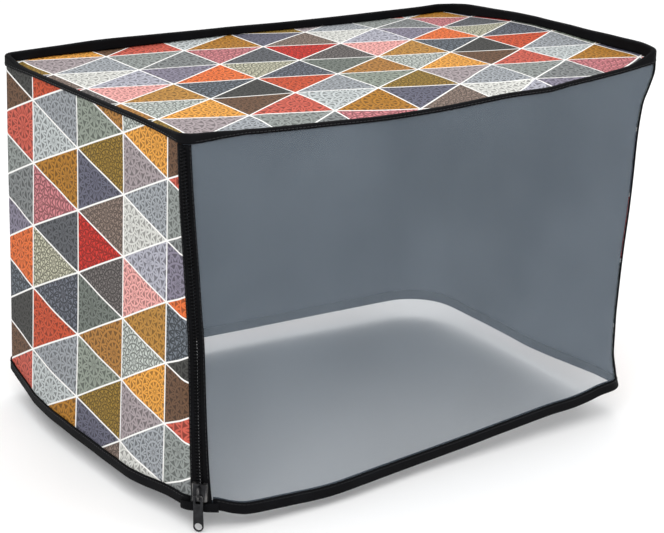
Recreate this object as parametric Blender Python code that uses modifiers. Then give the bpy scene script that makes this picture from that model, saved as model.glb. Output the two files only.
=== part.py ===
"""Fitted printer cover: printed cloth top and skirt, clear front window, bound seams and a corner zip.

Metres, +Z up. The origin is the middle of the top's underside, which lies on the machine's lid.
X runs along the width, and -Y is the front with the clear window. The cover is empty and open below.
"""

import math
from collections import namedtuple

import bmesh
import bpy
import numpy as np
from mathutils import Matrix, Vector

# Driving sizes of the sewn box
WIDTH = 0.450
DEPTH = 0.300
HEIGHT = 0.289  # from the top seam down to the lower edge of the hem
CLOTH = 0.0010
TAPE = 0.0010
GAP = 0.00035  # between sewn layers

# Layers, as distances outward from the middle of the skirt cloth
TURN_UP = -(CLOTH + GAP)  # middle of the top cloth's turned-up edge, behind the skirt
OUTER_TAPE = CLOTH / 2 + GAP + TAPE / 2
SEAM_INNER_TAPE = TURN_UP - OUTER_TAPE

# Bound edges
HEM_DEPTH = 0.0100
SEAM_CROWN = (OUTER_TAPE - SEAM_INNER_TAPE) / 4  # height of the tape's flattened fold over the top seam
FOLD_CLEAR = 0.0004  # how far the cloth edges stay short of a fold's centre
SEAM_BEND = 0.0010  # of the top cloth where its edge turns up
TAB_FOLD = OUTER_TAPE + TAPE + GAP
TAB_LOW = 0.0050  # the tab over the zip's foot hangs this far below the cut height
TAB_DEPTH = 0.0085
TAB_BACK = 0.0130  # its reach from the zip's line onto the left side
TAB_FRONT = 0.0096
SIDE_TAPE_FRONT = 0.0030  # how much of the corner tape shows on the front
SIDE_TAPE_BACK = 0.0080
BUTT = 0.0010  # half of the space between skirt and window under the corner tape

# Zip
BAND_HALF = 0.0060
ZIP_HALF_GAP = 0.00025
ZIP_UNDERLAP = 0.0035  # from the coil's middle to the edges of skirt and window
COIL_WIDTH = 0.0044
COIL_HEIGHT = 0.0020
SLIDER_LENGTH = 0.0145
SLIDER_WIDTH = 0.0120
SLIDER_PLATE = 0.0012
SLIDER_CLEAR = 0.00045  # from the coil and the tapes
SLIDER_ABOVE_HEM = 0.0155  # its middle
BRIDGE_RADIUS = 0.0010
BRIDGE_REACH = 0.0050  # from the slider's middle to each foot of the bridge
BRIDGE_CLEAR = 0.0022  # free height under the bridge
PULL_LENGTH = 0.0300
PULL_WIDTH = 0.0083
PULL_THICK = 0.0012
PULL_ASIDE = 0.0006  # it hangs this far left of the slider's middle
PULL_HOLE = 0.0031  # radius of the round hole at the pull's free end
EYE_WIDTH = 0.0040
EYE_LENGTH = 0.0050
EYE_BAR = 0.0018

# Stations count the wall's sides from the front left corner: left 0 to 1, back to 2, right to 3, front to 4
SIDES = 4
FRONT_RIGHT = 3
SIDE_LENGTHS = (DEPTH, WIDTH, DEPTH, WIDTH)
# Depths below the seam at which every piece on the wall has a row of points
LEVELS = (0.262, 0.235, 0.200, 0.160, 0.115, 0.075, 0.040, 0.020, 0.008, 0.0)
LEVEL_SETTLES = 0.060  # from this depth down the rows no longer follow the seam's rise

Corner = namedtuple("Corner", "x y hem_dx hem_dy lean top_radius hem_radius")
STRAIGHT = ()
# Share of the shift to the hem at each part of the height, where a corner doesn't run straight
LEANING = (
    (0, 0), (0.05, 0.26), (0.10, 0.60), (0.20, 0.81), (0.30, 0.90), (0.40, 1.02),
    (0.55, 1.28), (0.66, 1.42), (0.76, 1.50), (0.85, 1.50), (0.93, 1.27), (1, 1),
)
CORNERS = (
    Corner(-0.2250, -0.1500, 0.0000, 0.0000, STRAIGHT, 0.011, 0.012),  # front left, with the zip
    Corner(-0.2275, 0.1540, 0.0035, 0.0260, STRAIGHT, 0.0075, 0.0095),  # back left
    Corner(0.2250, 0.1500, -0.0060, 0.0120, STRAIGHT, 0.014, 0.042),  # back right
    Corner(0.2270, -0.1500, -0.0183, 0.0000, LEANING, 0.008, 0.014),  # front right
)

# How far each side bows out at the hem, and the share of it along that side
Bow = namedtuple("Bow", "reach shares")
BOWS = (
    Bow(0.0127, ((0, 0), (0.12, 0.34), (0.25, 0.88), (0.58, 1.0), (0.80, 0.62), (1, 0))),  # left
    Bow(0.0060, ((0, 0), (0.3, 0.7), (0.55, 1.0), (0.8, 0.6), (1, 0))),  # back
    Bow(0.0045, ((0, 0), (0.35, 1.0), (0.7, 0.7), (1, 0))),  # right
    Bow(0.0190, ((0, 0), (0.25, 0.15), (0.5, 0.45), (0.75, 1.0), (0.88, 0.97), (0.95, 0.6), (1, 0))),  # front
)

# The top seam: how far it rises above the lid, and how high its bound edge stands
Seam = namedtuple("Seam", "station rise stand")
TOP_SEAM = [Seam(*row) for row in (
    (0.000, -0.0023, 0.0076), (0.050, -0.0010, 0.0055), (0.100, 0.0000, 0.0043), (0.150, 0.0005, 0.0036),
    (0.220, 0.0009, 0.0036), (0.420, 0.0004, 0.0036), (0.600, 0.0002, 0.0036), (0.840, -0.0003, 0.0036),
    (0.920, -0.0010, 0.0055), (0.970, -0.0010, 0.0085), (1.000, -0.0006, 0.0092), (1.100, -0.0001, 0.0096),
    (1.200, -0.0006, 0.0110), (1.310, -0.0008, 0.0101), (1.460, -0.0009, 0.0087), (1.600, -0.0024, 0.0084),
    (1.800, -0.0043, 0.0091), (1.930, -0.0044, 0.0088), (2.000, -0.0036, 0.0089), (2.130, -0.0012, 0.0114),
    (2.260, 0.0027, 0.0100), (2.380, 0.0060, 0.0091), (2.490, 0.0075, 0.0086), (2.600, 0.0075, 0.0093),
    (2.710, 0.0069, 0.0102), (2.820, 0.0069, 0.0111), (2.920, 0.0074, 0.0112), (3.000, 0.0053, 0.0106),
    (3.034, 0.0036, 0.0070), (3.062, 0.0021, 0.0040), (3.090, 0.0008, 0.0036), (3.147, -0.0013, 0.0036),
    (3.200, -0.0030, 0.0036), (3.260, -0.0054, 0.0036), (3.335, -0.0049, 0.0036), (3.420, -0.0063, 0.0036),
    (3.500, -0.0074, 0.0036), (3.580, -0.0075, 0.0036), (3.740, -0.0047, 0.0036), (3.850, -0.0023, 0.0036),
    (3.890, -0.0012, 0.0037), (3.926, -0.0014, 0.0052), (3.950, -0.0018, 0.0063), (4.000, -0.0023, 0.0076),
)]

# The hem's lower edge: how far it hangs below the cut height
Hem = namedtuple("Hem", "station drop")
HEM_LINE = [Hem(*row) for row in (
    (0.000, 0.0025), (0.050, 0.0018), (0.090, 0.0014), (0.130, 0.0023), (0.170, 0.0030),
    (0.300, 0.0028), (0.400, 0.0026), (0.500, 0.0018), (0.600, 0.0012), (0.700, 0.0015),
    (0.770, 0.0012), (0.820, -0.0008), (0.880, -0.0022), (0.930, -0.0041), (0.960, -0.0060),
    (1.000, -0.0080), (1.100, -0.0060), (1.250, -0.0010), (1.500, 0.0035), (2.000, 0.0005),
    (2.500, 0.0030), (3.000, -0.0065), (3.054, -0.0051), (3.096, -0.0021), (3.139, -0.0002),
    (3.181, 0.0003), (3.222, 0.0013), (3.263, 0.0025), (3.345, 0.0050), (3.426, 0.0075),
    (3.505, 0.0094), (3.586, 0.0100), (3.665, 0.0105), (3.739, 0.0114), (3.823, 0.0103),
    (3.900, 0.0094), (3.934, 0.0090), (3.960, 0.0066), (3.980, 0.0033), (4.000, 0.0025),
)]

# How far in front of the corner the zip's line lies, at each part of the height
ZIP_LINE = (
    (0, -0.0016), (0.15, -0.0001), (0.32, 0.0030), (0.45, 0.0052), (0.56, 0.0067),
    (0.69, 0.0068), (0.81, 0.0070), (0.93, 0.0075), (1, 0.0082),
)
ZIP_SPREAD = 0.3  # how much wider its band is at the hem than at the top
ZIP_DRIFT_REACH = 0.100  # beyond this distance the wall's stations no longer follow the zip

# Distances from each corner at which every piece has a row of points, so that layers stay parallel
PAST_BAND = BAND_HALF + 2 * GAP
NEAR_ZIP = (ZIP_HALF_GAP, ZIP_UNDERLAP, 0.0048, BAND_HALF, PAST_BAND, TAB_FRONT, TAB_BACK, 0.018, 0.024)
NEAR_BACK = (0.0, 0.0045, 0.009, 0.014, 0.020, 0.027, 0.034, 0.042)
NEAR_FRONT_RIGHT = (BUTT, SIDE_TAPE_FRONT, 0.0055, SIDE_TAPE_BACK, 0.011, 0.015)
NEAR = (NEAR_ZIP, NEAR_BACK, NEAR_BACK, NEAR_FRONT_RIGHT)
BETWEEN = (6, 8, 10, 12)  # further rows of points along each side


def smooth(table, x):
    """A curve through the rows of (position, value) that never swings past them, read at x."""
    at = np.array([row[0] for row in table], float)
    value = np.array([row[1] for row in table], float)
    steep = np.diff(value) / np.diff(at)
    both = steep[:-1] * steep[1:]
    slope = np.zeros(len(at))
    slope[1:-1] = np.where(both > 0, 2 * both / np.where(both > 0, steep[:-1] + steep[1:], 1.0), 0.0)
    k = int(np.clip(np.searchsorted(at, x, side="right") - 1, 0, len(at) - 2))
    span = at[k + 1] - at[k]
    u = min(max((x - at[k]) / span, 0.0), 1.0)
    return (
        value[k] * (1 + 2 * u) * (1 - u) ** 2
        + value[k + 1] * u * u * (3 - 2 * u)
        + span * (slope[k] * u * (1 - u) ** 2 - slope[k + 1] * u * u * (1 - u))
    )


def rise(station):
    return smooth([(row.station, row.rise) for row in TOP_SEAM], station % SIDES)


def stand(station):
    return smooth([(row.station, row.stand) for row in TOP_SEAM], station % SIDES)


def hem(station):
    return -HEIGHT - smooth([(row.station, row.drop) for row in HEM_LINE], station % SIDES)


def by_zip(forward):
    """The station this far in front of the zip's line: below 0 on the front, above 0 on the left."""
    return -forward / (WIDTH if forward > 0 else DEPTH)


def zip_spread(t):
    return 1 + ZIP_SPREAD * t


def drifted(station, t):
    """The station moved along with the zip's line, t being 0 at the top seam and 1 at the hem."""
    forward = (SIDES - station) * WIDTH if station > SIDES / 2 else -station * DEPTH
    hold = max(1 - abs(forward) / ZIP_DRIFT_REACH, 0.0)
    shift = smooth(ZIP_LINE, t) + forward * (zip_spread(t) - 1)
    return by_zip(forward + hold * shift) % SIDES if hold else station


def corner_at(k, t):
    """The sharp corner k and its radius."""
    c = CORNERS[k % SIDES]
    share = smooth(c.lean, t) if c.lean else t
    point = Vector((c.x + c.hem_dx * share, c.y + c.hem_dy * share))
    return point, c.top_radius + (c.hem_radius - c.top_radius) * t


def rounded(k, share, t):
    """The point at this share of the arc round corner k, from one tangent point to the other."""
    here, radius = corner_at(k, t)
    before = (corner_at(k - 1, t)[0] - here).normalized()
    ahead = (corner_at(k + 1, t)[0] - here).normalized()
    weights = (1 - share) ** 2, 2 * share * (1 - share) * math.cos(math.pi / 4), share**2
    ends = here + before * radius, here, here + ahead * radius
    return sum((p * w for p, w in zip(ends, weights)), Vector((0.0, 0.0))) / sum(weights)


def on_wall(station, t):
    """The point of the wall's level section at a station."""
    station = drifted(station % SIDES, t)
    k = int(station)
    along = station - k
    here, radius = corner_at(k, t)
    after, next_radius = corner_at(k + 1, t)
    length = (after - here).length
    passed, left = along * length, (1 - along) * length
    if passed < radius:
        point = rounded(k, 0.5 + 0.5 * passed / radius, t)
    elif left < next_radius:
        point = rounded(k + 1, 0.5 - 0.5 * left / next_radius, t)
    else:
        point = here.lerp(after, along)
    ahead = (after - here) / length
    bow = BOWS[k]
    return point + Vector((-ahead.y, ahead.x)) * bow.reach * smooth(bow.shares, along) * max(t, 0) ** 1.5


def place(station, z, out=0.0):
    """The point at this height on the wall, moved out from the middle of the skirt cloth."""
    t = -z / HEIGHT
    step = 0.002
    ahead = on_wall(station + step, t) - on_wall(station - step, t)
    normal = Vector((-ahead.y, ahead.x)).normalized()
    point = on_wall(station, t) + normal * out
    return Vector((point.x, point.y, z))


def all_stations():
    found = []
    for k in range(SIDES):
        length, ahead, behind = SIDE_LENGTHS[k], NEAR[k], NEAR[(k + 1) % SIDES]
        found += [k + distance / length for distance in ahead]
        found += [k + 1 - distance / length for distance in behind if distance]
        first, last = ahead[-1] / length, 1 - behind[-1] / length
        found += [k + first + (last - first) * (n + 1) / (BETWEEN[k] + 1) for n in range(BETWEEN[k])]
    return sorted(found)


def stations(start, end):
    """The shared stations from start to end, start being below 0 where a piece crosses the zip's line."""
    around = [station - SIDES for station in all_stations()] + all_stations()
    return [start, *(station for station in around if start + 1e-6 < station < end - 1e-6), end]


def material(name, colour, roughness, metallic=0.0, alpha=1.0):
    made = bpy.data.materials.new(name)
    made.use_nodes = True
    shader = made.node_tree.nodes["Principled BSDF"]
    shader.inputs["Base Color"].default_value = (*colour, 1.0)
    shader.inputs["Roughness"].default_value = roughness
    shader.inputs["Metallic"].default_value = metallic
    shader.inputs["Alpha"].default_value = alpha
    return made


def add_object(name, data, finish, folder):
    made = bpy.data.objects.new(name, data)
    data.materials.append(finish)
    folder.objects.link(made)
    return made


def strip(columns, rows, point):
    """A grid of columns by rows, each of whose points is set by point(column, row)."""
    grid = bmesh.new()
    bmesh.ops.create_grid(grid, x_segments=columns - 1, y_segments=rows - 1, size=1.0)
    for vertex in grid.verts:
        column = round((vertex.co.x + 1) / 2 * (columns - 1))
        row = round((vertex.co.y + 1) / 2 * (rows - 1))
        vertex.co = point(column, row)
    return grid


def thick_sheet(name, grid, thickness, finish, folder):
    """The open surface given its thickness, half to each side."""
    bmesh.ops.recalc_face_normals(grid, faces=grid.faces)
    mesh = bpy.data.meshes.new(name)
    grid.to_mesh(mesh)
    grid.free()
    mesh.shade_smooth()
    made = add_object(name, mesh, finish, folder)
    solid = made.modifiers.new("Thickness", "SOLIDIFY")
    solid.thickness = thickness
    solid.offset = 0.0
    solid.use_even_offset = True
    return made


def row_heights(station, low, high):
    """The heights of a wall sheet's rows of points at a station, from its foot to its top."""
    above_tape = hem(station) + HEM_DEPTH
    shared = [above_tape] if low(station) < above_tape - 0.001 else []
    for depth in LEVELS:
        z = rise(station) * max(1 - depth / LEVEL_SETTLES, 0) - depth
        shared += [z] if z < high(station) else []
    return [low(station), *shared, high(station)]


def wall_sheet(name, start, end, low, high, out, thickness, finish, folder):
    """A sheet on the wall from station start to end, between the heights low(station) and high(station)."""
    spread = stations(start, end)

    def point(column, row):
        station = spread[column]
        return place(station, row_heights(station, low, high)[row], out)

    grid = strip(len(spread), len(row_heights(start, low, high)), point)
    return thick_sheet(name, grid, thickness, finish, folder)


def cloth_top(station):
    """The height of the cloth edges inside the folded tape of the top seam."""
    return rise(station) + stand(station) - SEAM_CROWN - TAPE / 2 - FOLD_CLEAR


def cloth_foot(station):
    """The height of the cloth edge inside the folded tape of the hem."""
    return hem(station) + OUTER_TAPE + TAPE / 2 + FOLD_CLEAR


def top_panel(finish, folder):
    """The printed top: flat over the lid, rising to its seam, with its edge turned up in the binding."""
    spread = all_stations()
    bend = SEAM_BEND
    surface = CLOTH / 2
    # Rings from the turned-up edge inward: distance inside the wall, or the share of the way to the middle
    turned = ((0.0, 1.0), (0.0, 0.0), (-bend * 0.3, -0.7), (-bend, -1.0), (-0.0045, -1.0))
    inward = (0.12, 0.3, 0.5)

    def point(column, ring):
        station = spread[column % len(spread)]
        foot = rise(station) + surface + bend
        if ring < len(turned):
            inset, level = turned[ring]
            reach = cloth_top(station) - foot if level > 0 else bend
            return place(station, foot + level * reach, TURN_UP + inset)
        share = inward[ring - len(turned)]
        edge = place(station, foot - bend, TURN_UP + turned[-1][0])
        settled = 1 - share / inward[-1]
        height = surface + rise(station) * settled**1.5
        return Vector((edge.x * (1 - share), edge.y * (1 - share), height))

    rings = len(turned) + len(inward)
    grid = strip(len(spread) + 1, rings, point)
    bmesh.ops.remove_doubles(grid, verts=grid.verts, dist=1e-6)
    inner = [e for e in grid.edges if e.is_boundary and all(abs(v.co.y) < DEPTH * 0.3 for v in e.verts)]
    inner = [e for e in inner if all(abs(v.co.x) < WIDTH * 0.3 for v in e.verts)]
    bmesh.ops.edgeloop_fill(grid, edges=inner)
    return thick_sheet("top_panel", grid, CLOTH, finish, folder)


def folded_tape(name, spread, section, closed, finish, folder):
    """A tape folded over an edge: section(station) lists (out, z) across it."""
    columns = len(spread) + (1 if closed else 0)

    def point(column, row):
        station = spread[column % len(spread)]
        out, z = section(station)[row]
        return place(station, z, out)

    grid = strip(columns, len(section(spread[0])), point)
    if closed:
        bmesh.ops.remove_doubles(grid, verts=grid.verts, dist=1e-6)
    return thick_sheet(name, grid, TAPE, finish, folder)


def fold(inner, outer, centre_z, height):
    """Points of the fold from the inner to the outer leg, its height below 0 where it goes under an edge."""
    middle, radius = (inner + outer) / 2, (outer - inner) / 2
    angles = [math.pi * k / 4 for k in range(5)]
    return [(middle - radius * math.cos(a), centre_z + height * math.sin(a)) for a in angles]


def seam_section(station):
    """Across the tape over the top seam, from the foot of its inner leg to that of its outer one."""
    base = rise(station)
    centre = base + stand(station) - SEAM_CROWN - TAPE / 2
    inner_foot = base + CLOTH + 2 * GAP
    return [
        (SEAM_INNER_TAPE, inner_foot),
        *fold(SEAM_INNER_TAPE, OUTER_TAPE, centre, SEAM_CROWN),
        (OUTER_TAPE, base),
    ]


def hem_section(station):
    """Across the tape round the hem, from the top of its inner leg to that of its outer one."""
    foot = hem(station)
    centre = foot + OUTER_TAPE + TAPE / 2
    return [
        (-OUTER_TAPE, foot + HEM_DEPTH),
        *fold(-OUTER_TAPE, OUTER_TAPE, centre, -OUTER_TAPE),
        (OUTER_TAPE, foot + HEM_DEPTH),
    ]


def tab_centre(station):
    """The height of the middle of the tab's fold."""
    return -HEIGHT - TAB_LOW + TAB_FOLD + TAPE / 2


def tab_section(station):
    """Across the short tab folded over the hem's ends and the zip's foot."""
    foot, centre = -HEIGHT - TAB_LOW, tab_centre(station)
    return [
        (-TAB_FOLD, foot + TAB_DEPTH),
        *fold(-TAB_FOLD, TAB_FOLD, centre, -TAB_FOLD),
        (TAB_FOLD, foot + TAB_DEPTH),
    ]


def above_hem(station):
    """Where a strip on the outside of the wall starts, just above the hem tape's outer leg."""
    return hem(station) + HEM_DEPTH + GAP


def outer_top(station):
    """Where a strip on the outside of the wall ends, just below the seam tape's outer leg."""
    return rise(station) - 1.5 * GAP


def zip_foot(station):
    """Where the zip's tapes end, inside the tab."""
    return tab_centre(station) + GAP


def zip_tapes(finish, folder):
    """The two woven tapes that meet under the coil."""
    band, gap = BAND_HALF, ZIP_HALF_GAP
    sides = (
        ("zip_tape_skirt", by_zip(-gap), by_zip(-band)),
        ("zip_tape_window", SIDES + by_zip(band), SIDES + by_zip(gap)),
    )
    for name, start, end in sides:
        wall_sheet(name, start, end, zip_foot, outer_top, OUTER_TAPE, TAPE, finish, folder)


def zip_coil(finish, folder):
    """The closed coil, as one ridge along the line where the tapes meet."""
    base = OUTER_TAPE + TAPE / 2 + 2 * GAP
    top = outer_top(0.0)
    foot = hem(0.0) + SLIDER_ABOVE_HEM - SLIDER_LENGTH / 2
    half = COIL_WIDTH / 2
    outline = [(-half, 0.0), (-half, 0.5), (-half * 0.6, 1.0), (half * 0.6, 1.0), (half, 0.5), (half, 0.0)]
    steps = 14

    def point(column, row):
        z = foot + (top - foot) * row / steps
        across, up = outline[column % len(outline)]
        return place(by_zip(across / zip_spread(-z / HEIGHT)), z, base + up * COIL_HEIGHT)

    grid = strip(len(outline) + 1, steps + 1, point)
    bmesh.ops.remove_doubles(grid, verts=grid.verts, dist=1e-6)
    bmesh.ops.holes_fill(grid, edges=grid.edges, sides=len(outline))
    bmesh.ops.recalc_face_normals(grid, faces=grid.faces)
    mesh = bpy.data.meshes.new("zip_coil")
    grid.to_mesh(mesh)
    grid.free()
    add_object("zip_coil", mesh, finish, folder)


def flat_curve(name, loops, half_thick, rim, finish, folder):
    """A filled flat outline with holes, lying in its own XY plane and rounded at the rim."""
    data = bpy.data.curves.new(name, "CURVE")
    data.dimensions = "2D"
    data.fill_mode = "BOTH"
    data.extrude = half_thick - rim
    data.bevel_depth = rim
    data.bevel_resolution = 1
    data.offset = -rim
    for loop in loops:
        spline = data.splines.new("POLY")
        spline.points.add(len(loop) - 1)
        for point, (x, y) in zip(spline.points, loop):
            point.co = (x, y, 0.0, 1.0)
        spline.use_cyclic_u = True
    return add_object(name, data, finish, folder)


def arc(x, y, radius, start, end, steps):
    """Points on an arc about (x, y), with its angles in degrees."""
    angles = [math.radians(start + (end - start) * k / steps) for k in range(steps + 1)]
    return [(x + radius * math.cos(a), y + radius * math.sin(a)) for a in angles]


def as_mesh(curve):
    """The curve made a mesh in the same place, its caps welded on."""
    graph = bpy.context.evaluated_depsgraph_get()
    mesh = bpy.data.meshes.new_from_object(curve.evaluated_get(graph))
    bm = bmesh.new()
    bm.from_mesh(mesh)
    bmesh.ops.remove_doubles(bm, verts=bm.verts, dist=1e-6)
    bm.to_mesh(mesh)
    bm.free()
    made = bpy.data.objects.new(curve.name + "_mesh", mesh)
    made.matrix_world = curve.matrix_world
    folder = curve.users_collection[0]
    folder.objects.link(made)
    bpy.data.objects.remove(curve)
    return made


def slider_frame():
    """The slider's middle on the outer face of the tapes: X across, Y up, Z outward."""
    z = hem(0.0) + SLIDER_ABOVE_HEM
    station = by_zip(0.0)
    outer_face = OUTER_TAPE + TAPE / 2
    middle = place(station, z, outer_face)
    outward = (place(station, z, outer_face + 0.01) - middle).normalized()
    across = Vector((0, 0, 1)).cross(outward).normalized()
    turn = Matrix((across, (0, 0, 1), outward)).transposed()
    return Matrix.Translation(middle) @ turn.to_4x4()


def zip_slider(finish, folder, helpers):
    """The slider: a plate with two flanges that straddles the coil, and the bridge that holds the pull."""
    under = 2 * GAP + COIL_HEIGHT + SLIDER_CLEAR
    half, slot = SLIDER_WIDTH / 2, COIL_WIDTH / 2 + 2 * GAP
    top = under + SLIDER_PLATE
    channel = [
        (-half, SLIDER_CLEAR), (-slot, SLIDER_CLEAR), (-slot, under), (slot, under), (slot, SLIDER_CLEAR),
        (half, SLIDER_CLEAR), (half, top * 0.7), (half * 0.8, top), (-half * 0.8, top), (-half, top * 0.7),
    ]
    body = flat_curve("zip_slider_body", [channel], SLIDER_LENGTH / 2, 0.0, finish, helpers)
    body.matrix_world = slider_frame() @ Matrix.Rotation(math.pi / 2, 4, "X")
    bpy.context.view_layer.update()
    solid = as_mesh(body)
    solid.name = "zip_slider"
    helpers.objects.unlink(solid)
    folder.objects.link(solid)

    rail = bpy.data.curves.new("bridge", "CURVE")
    rail.dimensions = "3D"
    rail.bevel_depth = BRIDGE_RADIUS
    rail.bevel_resolution = 1
    rail.use_fill_caps = True
    crown = top + BRIDGE_CLEAR + BRIDGE_RADIUS
    path = [
        (BRIDGE_REACH, top - 0.0006), (BRIDGE_REACH, crown - 0.0010), (BRIDGE_REACH - 0.0012, crown),
        (0.0012 - BRIDGE_REACH, crown), (-BRIDGE_REACH, crown - 0.0010), (-BRIDGE_REACH, top - 0.0006),
    ]
    spline = rail.splines.new("POLY")
    spline.points.add(len(path) - 1)
    for point, (up, out) in zip(spline.points, path):
        point.co = (0.0, up, out, 1.0)
    bridge = add_object("bridge", rail, finish, helpers)
    bridge.matrix_world = slider_frame()
    bpy.context.view_layer.update()
    bridge = as_mesh(bridge)
    bridge.hide_render = True
    bridge.display_type = "WIRE"
    join = solid.modifiers.new("Bridge", "BOOLEAN")
    join.operation = "UNION"
    join.object = bridge


def zip_pull(finish, folder):
    """The flat pull, hanging by its eye from the bridge's lower foot."""
    half = PULL_WIDTH / 2
    neck = EYE_WIDTH / 2 + EYE_BAR
    top = EYE_BAR
    foot = top - PULL_LENGTH
    outline = [
        (-neck, top - 0.0012), (-neck + 0.0012, top), (neck - 0.0012, top), (neck, top - 0.0012),
        (neck, -EYE_LENGTH), (half * 0.92, -EYE_LENGTH - 0.004),
        *arc(0.0, foot + half, half, 0, -180, 10),
        (-half * 0.92, -EYE_LENGTH - 0.004), (-neck, -EYE_LENGTH),
    ]
    eye_half = EYE_WIDTH / 2
    eye = [(-eye_half, -EYE_LENGTH), (-eye_half, 0.0), (eye_half, 0.0), (eye_half, -EYE_LENGTH)]
    hole = arc(0.0, foot + half, PULL_HOLE, 0, 330, 11)
    pull = flat_curve("zip_pull", [outline, eye, hole], PULL_THICK / 2, 0.0002, finish, folder)
    plate_top = 2 * GAP + COIL_HEIGHT + SLIDER_CLEAR + SLIDER_PLATE
    hang = Vector((-PULL_ASIDE, BRIDGE_RADIUS + GAP - BRIDGE_REACH, plate_top + GAP + PULL_THICK / 2))
    pull.matrix_world = slider_frame() @ Matrix.Translation(hang)


def main():
    for old in list(bpy.data.objects):
        bpy.data.objects.remove(old)
    scene = bpy.context.scene
    folder = bpy.data.collections.new("printer_cover")
    helpers = bpy.data.collections.new("cutters")
    scene.collection.children.link(folder)
    scene.collection.children.link(helpers)

    printed = material("printed_cloth", (0.42, 0.38, 0.35), 0.75)
    film = material("clear_film", (0.80, 0.84, 0.87), 0.12, alpha=0.35)
    black_tape = material("black_tape", (0.012, 0.013, 0.016), 0.70)
    black_metal = material("black_zip_metal", (0.015, 0.015, 0.017), 0.35, metallic=0.6)

    top_panel(printed, folder)
    skirt_ends = by_zip(-ZIP_UNDERLAP), FRONT_RIGHT - BUTT / DEPTH
    wall_sheet("skirt", *skirt_ends, cloth_foot, cloth_top, 0.0, CLOTH, printed, folder)
    window_ends = FRONT_RIGHT + BUTT / WIDTH, SIDES + by_zip(ZIP_UNDERLAP)
    wall_sheet("window", *window_ends, cloth_foot, cloth_top, 0.0, CLOTH, film, folder)

    folded_tape("top_binding", all_stations(), seam_section, True, black_tape, folder)
    along_hem = stations(by_zip(-PAST_BAND), SIDES + by_zip(PAST_BAND))
    folded_tape("hem_binding", along_hem, hem_section, False, black_tape, folder)
    along_tab = stations(by_zip(TAB_FRONT), by_zip(-TAB_BACK))
    folded_tape("hem_tab", along_tab, tab_section, False, black_tape, folder)
    side_ends = FRONT_RIGHT - SIDE_TAPE_BACK / DEPTH, FRONT_RIGHT + SIDE_TAPE_FRONT / WIDTH
    wall_sheet("side_binding", *side_ends, above_hem, outer_top, OUTER_TAPE, TAPE, black_tape, folder)
    zip_tapes(black_tape, folder)
    zip_coil(black_tape, folder)
    zip_slider(black_metal, folder, helpers)
    zip_pull(black_metal, folder)


main()
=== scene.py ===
"""Fitted printer cover, dressed: printed cloth, clear front window, bound seams and a corner zip.

Metres, +Z up. The origin is the middle of the top's underside. X runs along the width, -Y is the front.
"""

import math

import bmesh
import bpy
import numpy as np
from mathutils import Matrix, Vector


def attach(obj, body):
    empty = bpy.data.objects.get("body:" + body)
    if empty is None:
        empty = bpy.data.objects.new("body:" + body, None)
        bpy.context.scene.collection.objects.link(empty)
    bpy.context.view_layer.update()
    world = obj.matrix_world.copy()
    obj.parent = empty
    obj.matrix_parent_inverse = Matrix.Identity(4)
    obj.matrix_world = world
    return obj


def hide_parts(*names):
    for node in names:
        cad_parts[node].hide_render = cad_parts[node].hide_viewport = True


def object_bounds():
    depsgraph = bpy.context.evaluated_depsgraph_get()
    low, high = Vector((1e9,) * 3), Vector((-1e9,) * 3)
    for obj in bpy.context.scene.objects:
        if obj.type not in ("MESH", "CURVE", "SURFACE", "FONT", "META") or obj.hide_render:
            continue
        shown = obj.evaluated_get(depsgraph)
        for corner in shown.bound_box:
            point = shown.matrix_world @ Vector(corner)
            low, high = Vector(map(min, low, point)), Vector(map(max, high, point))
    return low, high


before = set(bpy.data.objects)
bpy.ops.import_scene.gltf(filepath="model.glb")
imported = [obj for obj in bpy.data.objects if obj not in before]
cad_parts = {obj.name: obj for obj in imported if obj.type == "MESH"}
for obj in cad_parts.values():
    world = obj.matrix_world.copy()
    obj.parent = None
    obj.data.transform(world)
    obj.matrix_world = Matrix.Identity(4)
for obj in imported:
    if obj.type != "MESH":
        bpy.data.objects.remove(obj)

CAD_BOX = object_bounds()
FLOOR_Z = CAD_BOX[0][2] - 0.0006

# Sizes of the sewn box, as in the solids. Distances out are from the middle of the skirt cloth.
WIDTH = 0.450
DEPTH = 0.300
HEIGHT = 0.289
CLOTH = 0.0010
TAPE = 0.0010
GAP = 0.00035
TURN_UP = -(CLOTH + GAP)  # the top's turned edge, out
OUTER_TAPE = CLOTH / 2 + GAP + TAPE / 2  # the middle of a tape on the skirt, out
OUTER_FACE = OUTER_TAPE + TAPE / 2
SEAM_INNER_TAPE = TURN_UP - OUTER_TAPE
SEAM_CROWN = (OUTER_TAPE - SEAM_INNER_TAPE) / 4
FOLD_CLEAR = 0.0004  # from a cloth's edge to the fold round it
SEAM_BEND = 0.0010  # radius of the top's turned edge
HEM_DEPTH = 0.0100
TAB_FOLD = OUTER_TAPE + TAPE + GAP
TAB_LOW = 0.0050
TAB_DEPTH = 0.0085
TAB_BACK = 0.0130
TAB_FRONT = 0.0096
SIDE_TAPE_FRONT = 0.0030
SIDE_TAPE_BACK = 0.0080
BUTT = 0.0010  # half of the space between skirt and window under the corner tape

# Zip
BAND_HALF = 0.0060
ZIP_HALF_GAP = 0.00025
ZIP_UNDERLAP = 0.0035  # from the coil's middle to the edges of skirt and window
PAST_BAND = BAND_HALF + 2 * GAP
COIL_WIDTH = 0.0044
COIL_HEIGHT = 0.0020
COIL_SHORT = 0.0010  # it stops this far below the tapes' ends
TOOTH_PITCH = 0.0013
WIRE_RADIUS = 0.00042
LOOP_TURN = math.pi * 0.62  # half of the turn of a tooth's loop
LOOP_START = 0.00035  # from the coil's middle
LOOP_CLEAR = 0.0003  # from the coil's side
LOOP_LIFT = 0.2  # share of the pitch by which each end of a loop rises or falls
SLIDER_LENGTH = 0.0145
SLIDER_ABOVE_HEM = 0.0155  # its middle

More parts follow.
